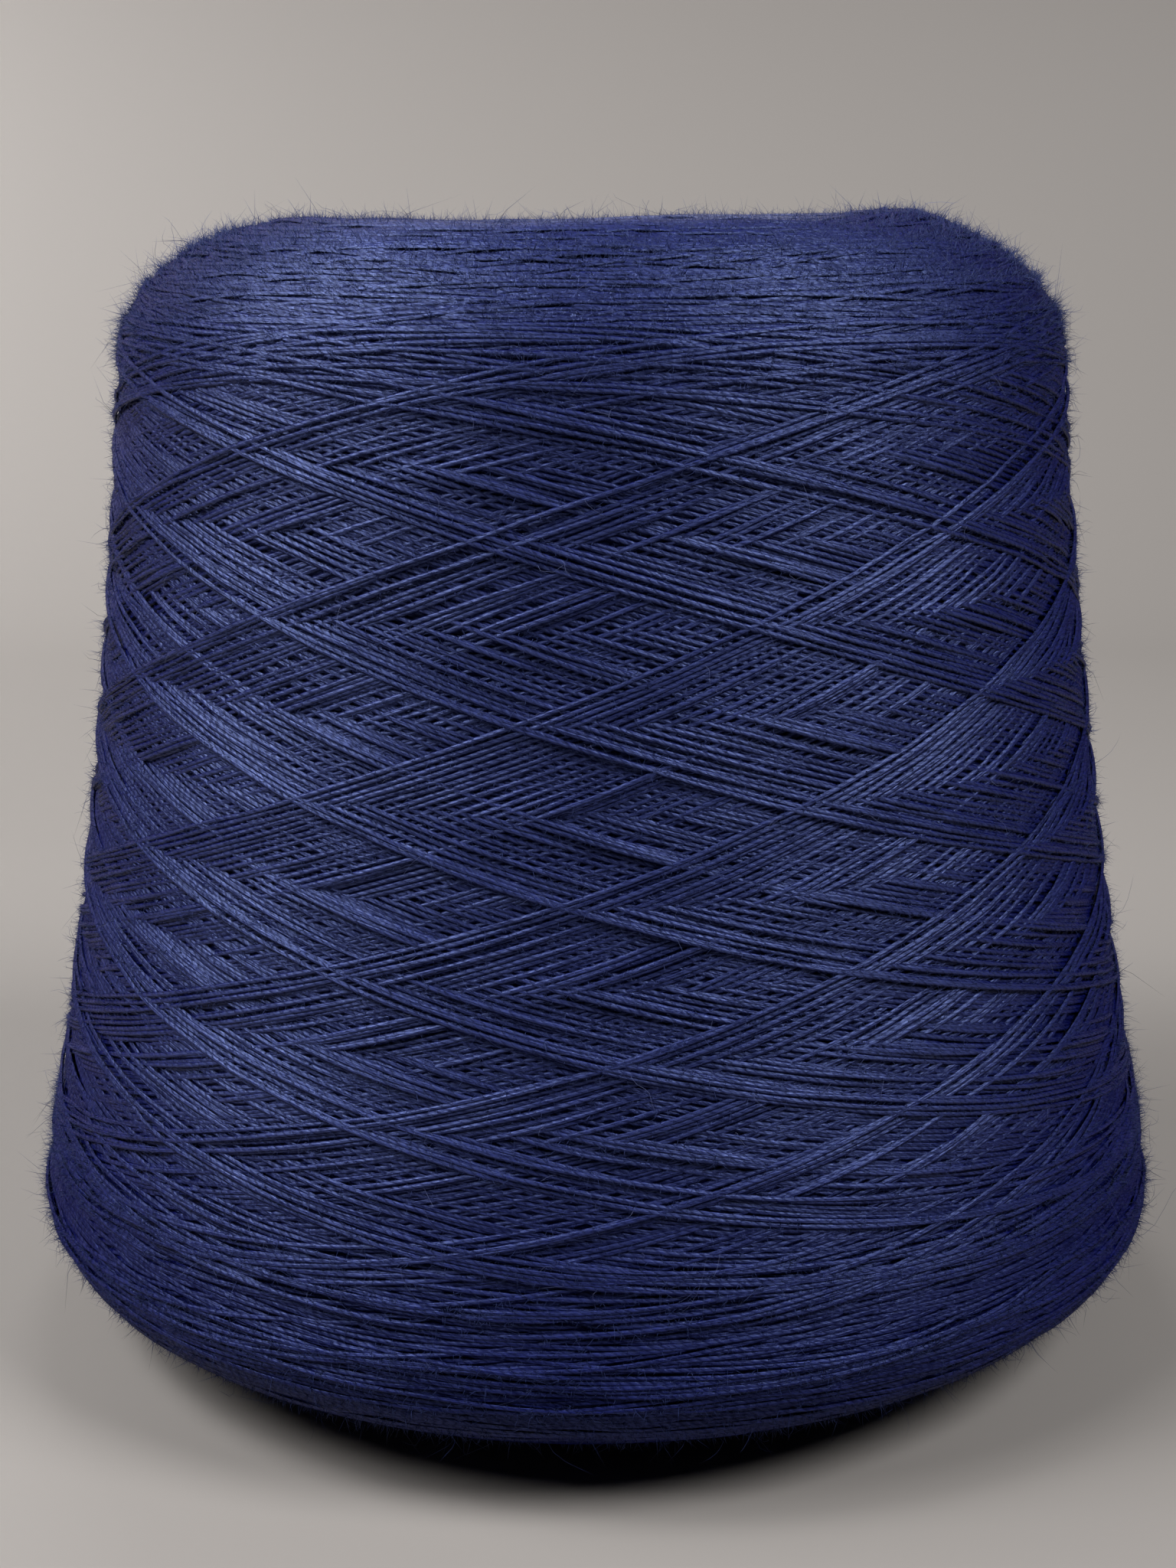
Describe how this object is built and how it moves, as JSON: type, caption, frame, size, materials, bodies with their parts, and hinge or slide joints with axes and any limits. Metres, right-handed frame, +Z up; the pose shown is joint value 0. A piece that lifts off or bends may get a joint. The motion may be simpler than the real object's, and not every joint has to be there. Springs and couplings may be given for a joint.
{
  "type": "cone of knitting yarn",
  "caption": "Cross-wound cone of knitting yarn on a tapered paper cone, stood on its base rim or set over a peg so that the yarn draws off over the nose.",
  "frame": {"origin": "on the cone's axis, at the level of the paper cone's base rim, which is what the part stands on", "axes": "+Z up along the axis, from the base rim to the nose; the part is round, so +X and +Y are any two directions square to it"},
  "size_m": [0.1854, 0.1854, 0.173],
  "materials": {
    "paper": "matte wound board",
    "yarn": "navy two-ply yarn, fuzzy"
  },
  "bodies": {
    "root": {"paper_cone": "paper", "yarn_package": "yarn", "yarn_winding": "yarn"}
  },
  "joints": []
}
